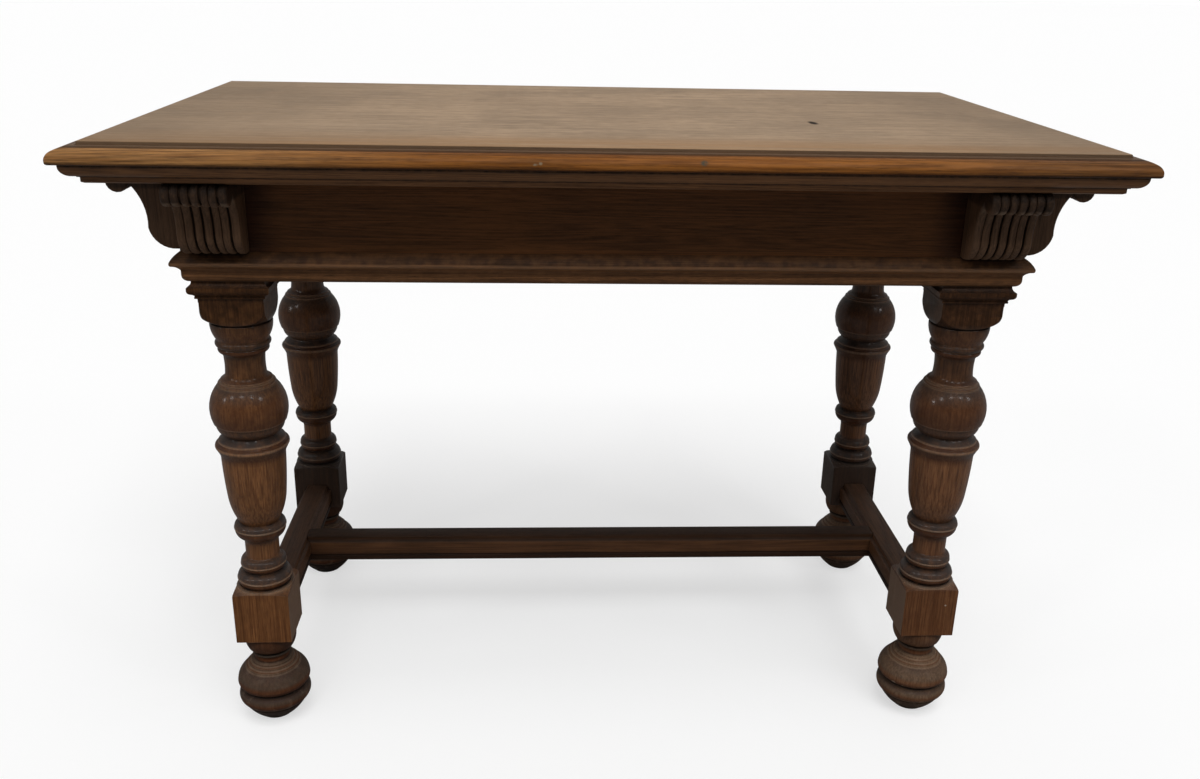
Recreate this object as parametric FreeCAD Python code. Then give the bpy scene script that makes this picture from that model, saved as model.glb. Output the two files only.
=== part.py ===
import FreeCAD, Part
import os

# Carved oak table: a moulded top on a bed frame, a frieze with corbels, turned legs and an H stretcher.
# The origin is on the floor under the middle of the top. X runs along the length and the front faces -Y.

# Overall size
table_height = 770.0
top_length = 1144.0
top_depth = 668.0

# Heights of the layers, from the top down to the floor
top_thickness = 21.5
bed_height = 21.5
frieze_height = 87.0
base_height = 36.0
foot_height = 126.0

# Top boards
edge_width = 24.5            # from the flat field to the outside of the nose
middle_board_depth = 240.0

# Bed frame under the top
bed_setback = 8.5            # behind the nose of the top
bed_width = 147.5
bed_mould_width = 17.5

# Frieze and the base moulding below it
frieze_setback = 94.0        # behind the nose of the top
frieze_thickness = 22.0
leg_setback = 47.0           # from the face of the frieze to the axis of a leg
base_projection = 11.0       # nose of the base moulding in front of the frieze
base_depth = 17.5            # from the nose of the base moulding to its foot

# Corbels
corbel_width = 68.0
corbel_offset = 4.5          # from the leg axis outwards to the middle of the corbel
corbel_depth = 76.0
groove_width = 1.8
corbel_tenon_width = 24.0
corbel_tenon_height = 40.0

# Legs
ball_diameter = 92.5
abacus_height = 22.0
abacus_width = 92.0
upper_block_height = 32.5
upper_block_width = 73.5
upper_dome_height = 21.5
lower_block_height = 73.0
lower_block_width = 69.5
lower_dome_height = 6.0
spigot_diameter = 32.0
spigot_length = 60.0

# Feet
bun_diameter = 92.0
foot_tenon_diameter = 24.0
foot_tenon_length = 40.0

# Stretchers
stretcher_rise = 1.5         # above the bottom of the legs' square blocks
stretcher_height = 37.0
end_stretcher_width = 42.0
long_stretcher_width = 34.0
tenon_thickness = 12.0
tenon_height = 24.0

# Inside the frieze
post_width = 60.0
bearer_thickness = 30.0
bearer_height = 58.0
bearer_housing = 8.0
glue_block_size = 20.0
glue_block_length = 60.0
button_length = 45.0
button_width = 40.0
button_thickness = 18.0
tongue_length = 8.0
tongue_height = 8.0
joint_fit = 0.15             # clearance round tenons, spigots and tongues

# Outlines as shares. A row of two is a corner, a row of four is the middle of an arc and its end.

# Edge of the top, from its underside: share of the edge width outwards, share of the thickness upwards
top_edge_shares = (
    (0.90, 0.0),
    (0.99, 0.10, 1.0, 0.26),
    (0.94, 0.56, 0.71, 0.735),
    (0.42, 0.81, 0.06, 0.83),
    (0.0, 0.83),
    (0.0, 1.0),
)
# Outer edge of the bed frame, from its underside: share of the moulded width, share of the height
bed_edge_shares = (
    (0.0, 0.0),
    (0.11, 0.07),
    (0.11, 0.30),
    (0.26, 0.30),
    (0.26, 0.37),
    (0.79, 0.52, 1.0, 0.90),
    (1.0, 1.0),
)
# Base moulding, from its foot: share of its depth outwards, share of its height
base_edge_shares = (
    (0.0, 0.0),
    (0.33, 0.08, 0.45, 0.24),
    (0.45, 0.40),
    (0.60, 0.49, 0.94, 0.57),
    (1.0, 0.61),
    (1.0, 0.68),
    (0.73, 0.87, 0.37, 1.0),
)
# Corbel in profile, from the frieze: share of its depth outwards, share of its height
corbel_shares = (
    (0.0, 0.0),
    (0.065, 0.0),
    (0.33, 0.10, 0.465, 0.27),
    (0.52, 0.62, 0.672, 0.845),
    (0.836, 0.718, 1.0, 0.862),
    (0.97, 0.94),
    (0.88, 1.0),
    (0.0, 1.0),
)
# Floor of the grooves in a corbel, on the same shares
corbel_core_shares = (
    (0.0, 0.0),
    (0.035, 0.0),
    (0.30, 0.125),
    (0.43, 0.27),
    (0.475, 0.60),
    (0.64, 0.88),
    (0.76, 0.79),
    (0.925, 0.781),
    (0.965, 0.87),
    (0.86, 0.985),
    (0.0, 0.985),
)
corbel_band_shares = (0.31, 0.13, 0.14, 0.27, 0.15)
corbel_tenon_share = 0.5     # length of a corbel's tenon in the thickness of the frieze
# Plain square edge of a frieze board
square_edge_shares = ((1.0, 0.0), (1.0, 1.0))

# Turned part of a leg, from its foot: share of the ball's radius, share of the turned length
base_shares = ((0.74, 0.0), (0.696, 0.028), (0.59, 0.051))
lower_ring_shares = ((0.636, 0.066), (0.636, 0.085), (0.45, 0.115))
lower_neck_shares = ((0.45, 0.157), (0.615, 0.185))
upper_ring_shares = ((0.684, 0.204), (0.684, 0.228), (0.545, 0.253))
vase_shares = ((0.699, 0.301, 0.768, 0.355), (0.808, 0.425, 0.823, 0.505))
collar_shares = ((0.945, 0.538), (0.945, 0.550), (0.71, 0.586))
shoulder_shares = ((0.62, 0.781), (0.60, 0.802), (0.515, 0.805))
neck_shares = ((0.519, 0.865), (0.614, 0.884))
twin_ring_shares = ((0.645, 0.890), (0.645, 0.904), (0.70, 0.910), (0.70, 0.923), (0.66, 0.930))
bell_shares = ((0.675, 0.936), (0.765, 0.963), (0.79, 1.0))
leg_turning_shares = (
    ((0.0, 0.0),) + base_shares + lower_ring_shares + lower_neck_shares + upper_ring_shares + vase_shares
    + collar_shares + shoulder_shares + neck_shares + twin_ring_shares + bell_shares + ((0.0, 1.0),)
)
ball_share = 0.679           # height of the middle of the ball in the turned length
# Turned shoulder of a square block, from the block's end: share of its half width, share of the dome's height
upper_shoulder_shares = ((1.0, 0.0), (1.24, 0.25), (1.43, 1.0))
lower_shoulder_shares = ((0.985, 0.0), (0.985, 0.62), (1.45, 1.0))
# Square head of a leg, from its underside: share of the moulded width, share of the height
abacus_shares = (
    (0.0, 0.0),
    (0.12, 0.0),
    (0.12, 0.12),
    (0.70, 0.26, 0.97, 0.50),
    (1.0, 0.72),
    (0.88, 0.90, 0.55, 1.0),
)
# Bun foot, from the floor: share of the bun's radius, share of the foot's height
foot_shares = (
    (0.0, 0.0),
    (0.43, 0.0),
    (0.79, 0.122, 0.985, 0.27),
    (0.925, 0.345),
    (0.995, 0.385),
    (0.90, 0.525, 0.72, 0.605),
    (0.575, 0.635),
    (0.50, 0.665),
    (0.49, 0.795),
    (0.635, 0.81),
    (0.685, 1.0),
    (0.0, 1.0),
)
# Half section of a stretcher, from the middle of its underside: share of the half width, share of the height
stretcher_shares = (
    (0.95, 0.0),
    (0.95, 0.18),
    (0.89, 0.195),
    (0.89, 0.255),
    (1.0, 0.29),
    (1.0, 0.76),
    (0.93, 0.785),
    (0.80, 0.83, 0.765, 0.92),
    (0.66, 1.0),
)

# Length of a stretcher's tenon: in the block of a leg as far as the foot's tenon, and in an end stretcher
end_tenon_share = 0.82
long_tenon_share = 0.52
# Places along a side as shares of the distance from the middle of the side to the leg axis
long_glue_block_shares = (-0.65, -0.3, 0.3, 0.65)
end_glue_block_shares = (-0.36, 0.36)
long_button_shares = (-0.62, -0.22, 0.22, 0.62)
end_button_shares = (0.0,)

# Worked out from the sizes above
leg_inset = frieze_setback + leg_setback
leg_x = top_length / 2 - leg_inset
leg_y = top_depth / 2 - leg_inset
top_under = table_height - top_thickness
bed_under = top_under - bed_height
frieze_under = bed_under - frieze_height
leg_top = frieze_under - base_height
stretcher_bottom = foot_height + stretcher_rise
turned_length = leg_top - abacus_height - upper_block_height - lower_block_height - foot_height
turned_foot = foot_height + lower_block_height
turned_head = turned_foot + turned_length
bed_out = leg_inset - bed_setback
bed_in = bed_out - bed_width
frieze_out = leg_setback
frieze_in = frieze_out - frieze_thickness
base_out = frieze_out + base_projection
end_tenon_length = end_tenon_share * (lower_block_width - foot_tenon_diameter) / 2
long_tenon_length = long_tenon_share * end_stretcher_width

# The four sides: name, turn about the vertical, half run between leg axes, distance of the axes from
# the middle of the table
sides = (
    ("front", 0, leg_x, leg_y),
    ("right", 90, leg_y, leg_x),
    ("back", 180, leg_x, leg_y),
    ("left", 270, leg_y, leg_x),
)
side_ends = {"front": ("left", "right"), "right": ("front", "back"), "back": ("right", "left"),
             "left": ("back", "front")}
glue_block_shares = {"front": long_glue_block_shares, "right": end_glue_block_shares,
                     "back": long_glue_block_shares, "left": end_glue_block_shares}
button_shares = {"front": long_button_shares, "right": end_button_shares,
                 "back": long_button_shares, "left": end_button_shares}
corners = (
    ("front_left", -1, -1),
    ("front_right", 1, -1),
    ("back_left", -1, 1),
    ("back_right", 1, 1),
)

origin = FreeCAD.Vector(0, 0, 0)
up = FreeCAD.Vector(0, 0, 1)


def vector(x, y, z):
    return FreeCAD.Vector(x, y, z)


def turned_about(shape, degrees):
    """The shape turned about the vertical through the middle of the table."""
    copy = shape.copy()
    copy.rotate(origin, up, degrees)
    return copy


def moved(shape, x, y, z):
    """The shape moved by a distance."""
    copy = shape.copy()
    copy.translate(vector(x, y, z))
    return copy


def box(x0, x1, y0, y1, z0, z1):
    """A box between two corners."""
    return Part.makeBox(x1 - x0, y1 - y0, z1 - z0, vector(x0, y0, z0))


def outline_face(rows, place):
    """A flat face from outline rows, each share pair set in space by the place function."""
    start = place(*rows[0])
    here = start
    edges = []
    for row in rows[1:]:
        there = place(*row[-2:])
        if len(row) > 2:
            edges.append(Part.Arc(here, place(*row[:2]), there).toShape())
        else:
            edges.append(Part.LineSegment(here, there).toShape())
        here = there
    edges.append(Part.LineSegment(here, start).toShape())
    return Part.Face(Part.Wire(edges))


def turning(rows, radius, foot, height):
    """A turned solid on the vertical axis."""
    face = outline_face(rows, lambda across, along: vector(across * radius, 0, foot + along * height))
    return face.revolve(origin, up, 360)


def pin(diameter, length, foot):
    """A round pin standing on the vertical axis."""
    return Part.makeCylinder(diameter / 2, length, vector(0, 0, foot))


def moulded_slab(rows, half_x, half_y, edge, foot, height):
    """A slab whose four edges carry the same moulding, mitred at the corners."""
    slab = None
    for half_run, half_gap, degrees in ((half_x, half_y, 0), (half_y, half_x, 90), (half_x, half_y, 180),
                                        (half_y, half_x, 270)):
        inner = half_gap - edge
        back = (half_gap + inner) / edge
        section = ((-back, 0.0),) + rows + ((-back, 1.0),)
        face = outline_face(
            section, lambda out, rise: vector(-half_run, -inner - out * edge, foot + rise * height)
        )
        length = turned_about(face.extrude(vector(half_run * 2, 0, 0)), degrees)
        slab = length if slab is None else slab.common(length)
    return slab


def mitred_run(rows, half_run, half_gap, inner, outer, mould, foot, height):
    """One front length of a frame, from the stand-offs of its edges, with mitres on the leg axes."""
    back = (inner - outer + mould) / mould
    section = ((back, 0.0),) + rows + ((back, 1.0),)
    start = half_run + outer
    face = outline_face(
        section, lambda out, rise: vector(-start, -half_gap - outer + (1 - out) * mould, foot + rise * height)
    )
    length = face.extrude(vector(start * 2, 0, 0))
    plan = Part.makePolygon([
        vector(-half_run - outer, -half_gap - outer, foot),
        vector(half_run + outer, -half_gap - outer, foot),
        vector(half_run + inner, -half_gap - inner, foot),
        vector(-half_run - inner, -half_gap - inner, foot),
        vector(-half_run - outer, -half_gap - outer, foot),
    ])
    return length.common(Part.Face(plan).extrude(vector(0, 0, height)))


def button(gap):
    """A wooden button at a bed frame's inner edge, which is y zero; with a gap, its mortise in the frame."""
    half = button_width / 2 + gap
    middle = top_under - bed_height / 2
    rise = tongue_height / 2 + gap
    tongue = box(-half, half, -tongue_length - gap, 0, middle - rise, middle + rise)
    if gap:
        return tongue
    block = box(-half, half, 0, button_length, top_under - button_thickness, top_under)
    return tongue.fuse(block).removeSplitter()


def top_buttons(gap):
    """All buttons that hold the top down on the bed frame, or their mortises."""
    buttons = []
    for name, degrees, half_run, half_gap in sides:
        for share in button_shares[name]:
            placed = moved(button(gap), share * half_run, -half_gap - bed_in, 0)
            buttons.append(turned_about(placed, degrees))
    return Part.makeCompound(buttons)


def top_boards(parts):
    """Three boards glued edge to edge, with the moulding worked round the whole top."""
    slab = moulded_slab(top_edge_shares, top_length / 2, top_depth / 2, edge_width, top_under, top_thickness)
    joint = middle_board_depth / 2
    spans = (("front", -top_depth / 2, -joint), ("middle", -joint, joint), ("back", joint, top_depth / 2))
    for name, near, far in spans:
        span = box(-top_length / 2, top_length / 2, near, far, top_under, table_height)
        parts["top_board_" + name] = slab.common(span)


def bed_frame(parts):
    """Wide mitred boards under the top, moulded on the outer edge and mortised for the buttons."""
    mortises = top_buttons(joint_fit)
    for name, degrees, half_run, half_gap in sides:
        run = mitred_run(
            bed_edge_shares, half_run, half_gap, bed_in, bed_out, bed_mould_width, bed_under, bed_height
        )
        parts["bed_frame_" + name] = turned_about(run, degrees).cut(mortises)


def spigot_sockets():
    """The holes for the spigots of the four legs."""
    socket = pin(spigot_diameter + joint_fit * 2, spigot_length + joint_fit, leg_top)
    sockets = [moved(socket, way_x * leg_x, way_y * leg_y, 0) for name, way_x, way_y in corners]
    return Part.makeCompound(sockets)


def frieze(parts):
    """Plain mitred boards, housed for the cross bearer and mortised for the corbels."""
    housing = bearer(bearer_housing + joint_fit, joint_fit)
    sockets = spigot_sockets()
    for name, degrees, half_run, half_gap in sides:
        run = mitred_run(
            square_edge_shares, half_run, half_gap, frieze_in, frieze_out, frieze_thickness, frieze_under,
            frieze_height
        )
        for way in (-1, 1):
            run = run.cut(moved(corbel_tenon(joint_fit), *corbel_place(way, half_run, half_gap)))
        parts["frieze_" + name] = turned_about(run, degrees).cut(housing).cut(sockets)


def base_moulding(parts):
    """Mitred moulding that carries the frieze and sits on the legs."""
    sockets = spigot_sockets()
    for name, degrees, half_run, half_gap in sides:
        run = mitred_run(
            base_edge_shares, half_run, half_gap, frieze_in, base_out, base_depth, leg_top, base_height
        )
        parts["base_moulding_" + name] = turned_about(run, degrees).cut(sockets)


def corbel_tenon(gap):
    """A corbel's stub tenon, or with a gap its mortise in the frieze."""
    half = corbel_tenon_width / 2 + gap
    rise = corbel_tenon_height / 2 + gap
    middle = frieze_height / 2
    return box(-half, half, 0, frieze_thickness * corbel_tenon_share + gap, middle - rise, middle + rise)


def corbel():
    """A reeded corbel against a frieze whose face is at y zero, with its foot at height zero."""
    left = -corbel_width / 2
    spare = corbel_width - groove_width * (len(corbel_band_shares) - 1)

    def place(out, rise):
        return vector(left, -out * corbel_depth, rise * frieze_height)

    profile = outline_face(corbel_shares, place)
    solid = outline_face(corbel_core_shares, place).extrude(vector(corbel_width, 0, 0))
    start = 0
    for share in corbel_band_shares:
        band = profile.extrude(vector(share * spare, 0, 0))
        solid = solid.fuse(moved(band, start, 0, 0))
        start += share * spare + groove_width
    return solid.fuse(corbel_tenon(0)).removeSplitter()


def corbel_place(way, half_run, half_gap):
    """Where a corbel of a front side stands."""
    return way * (half_run + corbel_offset), -half_gap - frieze_out, frieze_under


def corbels(parts):
    """Two corbels on each side, over the legs."""
    solid = corbel()
    for name, degrees, half_run, half_gap in sides:
        for way, end in zip((-1, 1), side_ends[name]):
            placed = moved(solid, *corbel_place(way, half_run, half_gap))
            parts["corbel_%s_%s" % (name, end)] = turned_about(placed, degrees)


def square_block(width, foot, height, dome, shares, upwards):
    """A square block on the leg axis with a turned shoulder at its upper or lower end."""
    half = width / 2
    block = box(-half, half, -half, half, foot, foot + height)
    end, step, rest = (foot + height, -dome, -height) if upwards else (foot, dome, height)
    widest = shares[-1][0]
    rows = ((0.0, 0.0),) + shares + ((widest, rest / step), (0.0, rest / step))
    face = outline_face(rows, lambda across, along: vector(across * half, 0, end + along * step))
    return block.common(face.revolve(origin, up, 360))


def leg():
    """A turned leg on the vertical axis, mortised towards +Y for an end stretcher."""
    shaft = turning(leg_turning_shares, ball_diameter / 2, turned_foot, turned_length)
    ball = Part.makeSphere(ball_diameter / 2, vector(0, 0, turned_foot + ball_share * turned_length))
    lower = square_block(
        lower_block_width, foot_height, lower_block_height, lower_dome_height, lower_shoulder_shares, True
    )
    upper = square_block(
        upper_block_width, turned_head, upper_block_height, upper_dome_height, upper_shoulder_shares, False
    )
    mould = (abacus_width - upper_block_width) / 2
    abacus = moulded_slab(
        abacus_shares, abacus_width / 2, abacus_width / 2, mould, leg_top - abacus_height, abacus_height
    )
    spigot = pin(spigot_diameter, spigot_length, leg_top)
    solid = shaft.fuse([ball, lower, upper, abacus, spigot]).removeSplitter()
    face_y = lower_block_width / 2
    mortise = tenon(face_y - end_tenon_length - joint_fit, face_y, joint_fit)
    socket = pin(foot_tenon_diameter + joint_fit * 2, foot_tenon_length + joint_fit, foot_height)
    return solid.cut(mortise).cut(socket)


def tenon(y0, y1, gap):
    """A stretcher's tenon along Y on the axis, or with a gap the mortise that takes it."""
    half = tenon_thickness / 2 + gap
    middle = stretcher_bottom + stretcher_height / 2
    rise = tenon_height / 2 + gap
    return box(-half, half, y0, y1, middle - rise, middle + rise)


def legs(parts):
    """Four legs, each mortised towards the other leg of its end."""
    solid = leg()
    for name, way_x, way_y in corners:
        facing = solid if way_y < 0 else turned_about(solid, 180)
        parts["leg_" + name] = moved(facing, way_x * leg_x, way_y * leg_y, 0)


def feet(parts):
    """Four turned bun feet with a round tenon up into the leg."""
    bun = turning(foot_shares, bun_diameter / 2, 0, foot_height)
    solid = bun.fuse(pin(foot_tenon_diameter, foot_tenon_length, foot_height)).removeSplitter()
    for name, way_x, way_y in corners:
        parts["foot_" + name] = moved(solid, way_x * leg_x, way_y * leg_y, 0)


def stretcher_bar(width, length):
    """A moulded bar along Y, centred on the vertical axis."""
    half = width / 2
    right = outline_face(
        ((0.0, 0.0),) + stretcher_shares + ((0.0, 1.0),),
        lambda across, rise: vector(across * half, -length / 2, stretcher_bottom + rise * stretcher_height),
    )
    solid = right.extrude(vector(0, length, 0))
    return solid.fuse(solid.mirror(origin, vector(1, 0, 0))).removeSplitter()


def end_stretcher():
    """A stretcher between the two legs of an end, mortised towards +X for the long stretcher."""
    length = leg_y * 2 - lower_block_width
    bar = stretcher_bar(end_stretcher_width, length)
    reach = length / 2 + end_tenon_length
    bar = bar.fuse(tenon(-reach, reach, 0)).removeSplitter()
    face_x = end_stretcher_width / 2
    mortise = tenon(-face_x, long_tenon_length + joint_fit - face_x, joint_fit)
    return bar.cut(turned_about(mortise, 90))


def stretchers(parts):
    """The H stretcher: one bar at each end and a long bar between them."""
    left = end_stretcher()
    parts["end_stretcher_left"] = moved(left, -leg_x, 0, 0)
    parts["end_stretcher_right"] = moved(turned_about(left, 180), leg_x, 0, 0)
    length = leg_x * 2 - end_stretcher_width
    reach = length / 2 + long_tenon_length
    bar = stretcher_bar(long_stretcher_width, length).fuse(tenon(-reach, reach, 0)).removeSplitter()
    parts["long_stretcher"] = turned_about(bar, 90)


def corner_posts(parts):
    """Posts in the corners of the frieze, bored for the legs' spigots."""
    low = frieze_in - post_width
    sockets = spigot_sockets()
    for name, way_x, way_y in corners:
        xs = sorted((way_x * low, way_x * frieze_in))
        ys = sorted((way_y * low, way_y * frieze_in))
        post = box(xs[0], xs[1], ys[0], ys[1], leg_top, bed_under)
        parts["corner_post_" + name] = moved(post, way_x * leg_x, way_y * leg_y, 0).cut(sockets)


def bearer(housing, gap):
    """A cross bearer notched under the bed frame, or with a gap its housing in the frieze."""
    half = bearer_thickness / 2 + gap
    inside = leg_y + bed_in
    reach = leg_y + frieze_in + housing
    foot = top_under - bearer_height
    lower = box(-half, half, -reach, reach, foot - gap, bed_under)
    return lower.fuse(box(-half, half, -inside, inside, foot - gap, top_under)).removeSplitter()


def glue_blocks():
    """Blocks rubbed into the corner between frieze and bed frame."""
    blocks = []
    half = glue_block_length / 2
    for name, degrees, half_run, half_gap in sides:
        face = -half_gap - frieze_in
        for share in glue_block_shares[name]:
            middle = share * half_run
            block = box(
                middle - half, middle + half, face, face + glue_block_size,
                bed_under - glue_block_size, bed_under
            )
            blocks.append(turned_about(block, degrees))
    return Part.makeCompound(blocks)


def build():
    """All pieces by node name."""
    parts = {}
    top_boards(parts)
    bed_frame(parts)
    frieze(parts)
    base_moulding(parts)
    corbels(parts)
    legs(parts)
    feet(parts)
    stretchers(parts)
    corner_posts(parts)
    parts["cross_bearer"] = bearer(bearer_housing, 0)
    parts["glue_blocks"] = glue_blocks()
    parts["top_buttons"] = top_buttons(0)
    return parts


os.makedirs("parts", exist_ok=True)
for node, shape in build().items():
    shape.exportStep("parts/%s.step" % node)
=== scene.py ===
"""A carved oak table with turned legs, reeded corbels and an H stretcher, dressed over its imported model."""

import math

import bpy
from bpy.props import FloatProperty, FloatVectorProperty, IntProperty, PointerProperty
from bpy.types import Operator, Panel, PropertyGroup
from mathutils import Matrix, Vector


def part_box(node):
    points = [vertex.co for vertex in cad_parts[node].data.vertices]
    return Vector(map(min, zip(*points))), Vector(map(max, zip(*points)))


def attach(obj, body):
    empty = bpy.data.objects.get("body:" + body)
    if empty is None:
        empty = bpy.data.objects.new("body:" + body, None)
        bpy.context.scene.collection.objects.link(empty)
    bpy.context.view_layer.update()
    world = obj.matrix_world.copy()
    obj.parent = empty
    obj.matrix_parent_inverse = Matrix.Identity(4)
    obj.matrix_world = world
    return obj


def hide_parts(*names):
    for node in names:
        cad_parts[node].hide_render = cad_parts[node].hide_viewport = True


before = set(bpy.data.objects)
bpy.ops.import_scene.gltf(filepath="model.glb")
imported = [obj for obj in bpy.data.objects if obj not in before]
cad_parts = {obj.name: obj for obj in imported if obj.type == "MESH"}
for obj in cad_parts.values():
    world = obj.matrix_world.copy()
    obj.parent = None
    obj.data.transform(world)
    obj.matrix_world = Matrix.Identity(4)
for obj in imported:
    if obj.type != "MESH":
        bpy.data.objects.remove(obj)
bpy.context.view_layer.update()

bl_info = {
    "name": "Carved oak table",
    "version": (1, 0, 0),
    "blender": (4, 5, 0),
    "location": "3D View > Sidebar > Oak Table",
    "description": "Models a carved oak table with turned legs and an H stretcher",
    "category": "Add Mesh",
}

MM = 0.001
# A corner of an outline that is flatter than this isn't worn
FLAT_CORNER = math.radians(150)
# An edge that is sharper than this stays sharp in the shading
SHARP_EDGE = math.radians(32)
# Wear on the upright edges of a square block, in worn edges
BLOCK_WEAR = 1.6
# Lowest and highest of the leg's square blocks before they are cut back to a dome, in metres
HEAD_BLOCK = (0.535, 0.588)
LOW_BLOCK = (0.126, 0.210)
# Waste at each end of a moulding before its mitres are sawn, in metres
MITRE_WASTE = 0.02
# Lap of one reed over the next, in metres
REED_LAP = MM / 20
# How far the long stretcher runs into the end stretchers, in metres
STRETCHER_STUB = 0.004
SIDES = {"front": 0, "right": 90, "back": 180, "left": 270}
CORNERS = {"front_left": (-1, -1), "front_right": (1, -1), "back_right": (1, 1), "back_left": (-1, 1)}

# The outlines are in millimetres. A row of two numbers is a point. A row of four is an arc, which goes
# through its first two numbers to its last two. Across, they are measured outwards from the leg's middle.
TOP_EDGE = (
    (138, 748.5), (140.2, 749.4, 141, 751.5), (141, 754), (139.3, 758.7, 134.3, 762.7),
    (126.8, 765.4, 118.6, 766.2), (117.8, 765), (117, 765.2), (116.6, 768.8), (116.2, 769.7, 115.4, 770),
)
BED_SECTION = (
    (-15, 727), (114, 727), (117, 728.5), (117, 733.2), (117.6, 733.8), (119.5, 733.8), (119.5, 735),
    (128.8, 738, 132.5, 746.3), (132.5, 748.5), (-15, 748.5),
)
BASE_SECTION = (
    (40.5, 604), (46.3, 607, 48.4, 612.6), (48.4, 618.4), (51, 621.6, 57, 624.5), (58, 626), (58, 628.5),
    (53.3, 635.3, 47, 640), (40.5, 640),
)
REED_SECTION = (
    (47, 640), (52, 640), (73.6, 647.4, 82.3, 663.5), (86.5, 694, 98.2, 712.6), (110.5, 702.5, 123, 715),
    (120.9, 722, 114, 727), (47, 727),
)
GROOVE_SECTION = (
    (47, 642.6), (50.6, 642.6), (68.6, 650.2, 77.4, 665.4), (81.6, 695.5, 100.4, 717.4),
    (110.5, 707, 119, 715), (117.6, 721, 112, 725.5), (47, 725.5),
)
# Widths of the reeds, as shares of the corbel's width without its grooves. Two in a row are a double reed.
REED_SHARES = ((0.16, 0.15), (0.13,), (0.14,), (0.13, 0.14), (0.15,))
HEAD_SLAB = (
    (36.9, 578), (36.9, 582.2), (39.6, 582.8), (39.6, 584.8), (39, 586), (40.6, 587.6), (43.2, 588.8),
    (45.4, 591, 46, 594.5), (46, 597), (42.4, 599.6, 41, 604),
)
HEAD_DOME = (
    (0, 549.6), (36.4, 549.6), (45.4, 554.8, 51, 564), (52.6, 571), (52.6, 592), (0, 592),
)
FOOT_DOME = (
    (0, 126), (53, 126), (53, 184), (49.8, 187), (48.6, 191.6, 44.4, 193.8), (36.4, 195), (36, 195.4),
    (36, 196.8), (35.2, 197.6), (32.4, 197.6), (32.4, 198.4), (0, 198.4),
)
TURNING = (
    (0, 560), (33.6, 560), (33.6, 547.6), (35.8, 547), (36.3, 545.8), (35.2, 536.6, 31, 526.8),
    (30.6, 525.6), (30.4, 524.6), (32.4, 520.5, 30, 516.6), (28.6, 516), (29.9, 513, 28.2, 509.6),
    (26.6, 509.2), (24.7, 506, 24, 502), (23.6, 491, 24.1, 483), (25.2, 479, 28.2, 475.8), (29.8, 475.4),
    (30.7, 474.2, 30.3, 472.8), (32.4, 471.8), (33.9, 470.4, 33.5, 468.6), (35.4, 467.2),
    (46.25, 437, 43.4, 421.4), (43.2, 420.6), (41.2, 420), (40.8, 419), (38.6, 411, 34.6, 406.4),
    (33.2, 405.2), (33.2, 404), (36.4, 400.2, 39.4, 397.8), (40, 397), (39.8, 396),
    (40.6, 394.2, 42.8, 393.2), (44.2, 390.6, 43.2, 387.8), (39.8, 381), (38.6, 377.4),
    (37.4, 348, 35.5, 323.5), (31.8, 303.6, 25.2, 287.5), (24.8, 285.4), (26.2, 285),
    (30.4, 282.8, 31.3, 278.8), (32, 278.4), (32, 277), (31.2, 276.4), (29.2, 268.4, 23.4, 263.4),
    (22.4, 263.2), (22.2, 261.8), (21.2, 259, 20.8, 254), (20.8, 240), (21.4, 237, 23.2, 235.6),
    (24.2, 235.4), (27, 232.4, 27.6, 227.4), (28.3, 227), (28.3, 225.6), (27.4, 225),
    (26.8, 221.4, 25, 219.4), (24.4, 219), (24.4, 217.8), (25.8, 217.4), (31.4, 213.8, 33.2, 208.4),
    (33.9, 208), (33.9, 206.6), (33.3, 206), (33, 203, 31.8, 200.8), (30.8, 200.4), (30.6, 199.4),
    (30.6, 190), (0, 190),
)
FOOT_TURNING = (
    (0, 126), (31.4, 126), (32.2, 124.6), (32.2, 113, 29, 104.2), (27.6, 103), (23, 102.4), (22.2, 101.4),
    (22.2, 99.6), (23.6, 98.8), (25, 97.2, 23.8, 95.4), (22.6, 94.8), (21.8, 90.8, 22.8, 86.8),
    (24.4, 86.2), (26.4, 85.8), (26.8, 85.2), (26.8, 83.4), (28.6, 82.4), (30.2, 81.8), (30.6, 81.2),
    (30.6, 79.4), (32.4, 78.2), (34, 77.6), (34.4, 77), (34.4, 75.2), (36, 73.8), (43, 66.4, 45.9, 57.4),
    (45.9, 52.6, 43.8, 49.2), (41.4, 47.4), (39.4, 46.8), (39, 44), (40.2, 43), (43.6, 40.8, 45.6, 36.6),
    (45.8, 31.6, 43.8, 27), (42.6, 25.6), (40.6, 24.8), (40, 23.8), (40.2, 22.4), (33.6, 12.8, 22.2, 1.8),
    (21, 0.4, 19, 0), (0, 0),
)
# The outline of a stretcher is in shares of its half width and its height. One row starts its cap, and one
# ends its lower fillet.
CAP_ROW, FILLET_ROW = 8, 4
STRETCHER_SHARES = (
    (0.9, 0), (0.95, 0.02), (0.95, 0.18), (0.89, 0.195), (0.89, 0.255), (0.955, 0.265), (0.99, 0.3),
    (1, 0.54, 0.985, 0.76), (0.93, 0.785), (0.8, 0.83, 0.765, 0.92), (0.73, 0.975, 0.66, 1),
)
# Colours laid over the wood in bands, of dirt, wear and the wood's tones and of painted light and shade
# Black is dirt and painted shadow in grooves and under overhangs.
# Grey is grime and a painted reflection on faces that look up.
# Red and umber are tones of the wood; brown is one too, and also painted shade.
# The dusty one is dust and painted light on faces that lie in shade.
# The palest is worn wood and painted highlights along ridges.
COATS_AND_SHADES = {
    "black": (0.012, 0.007, 0.005), "grey": (0.048, 0.033, 0.027), "red": (0.150, 0.046, 0.014),
    "umber": (0.072, 0.022, 0.006), "brown": (0.020, 0.007, 0.001), "bare and highlight": (0.340, 0.245, 0.170),
    "dust and painted light": (0.112, 0.088, 0.066),
}
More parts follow.
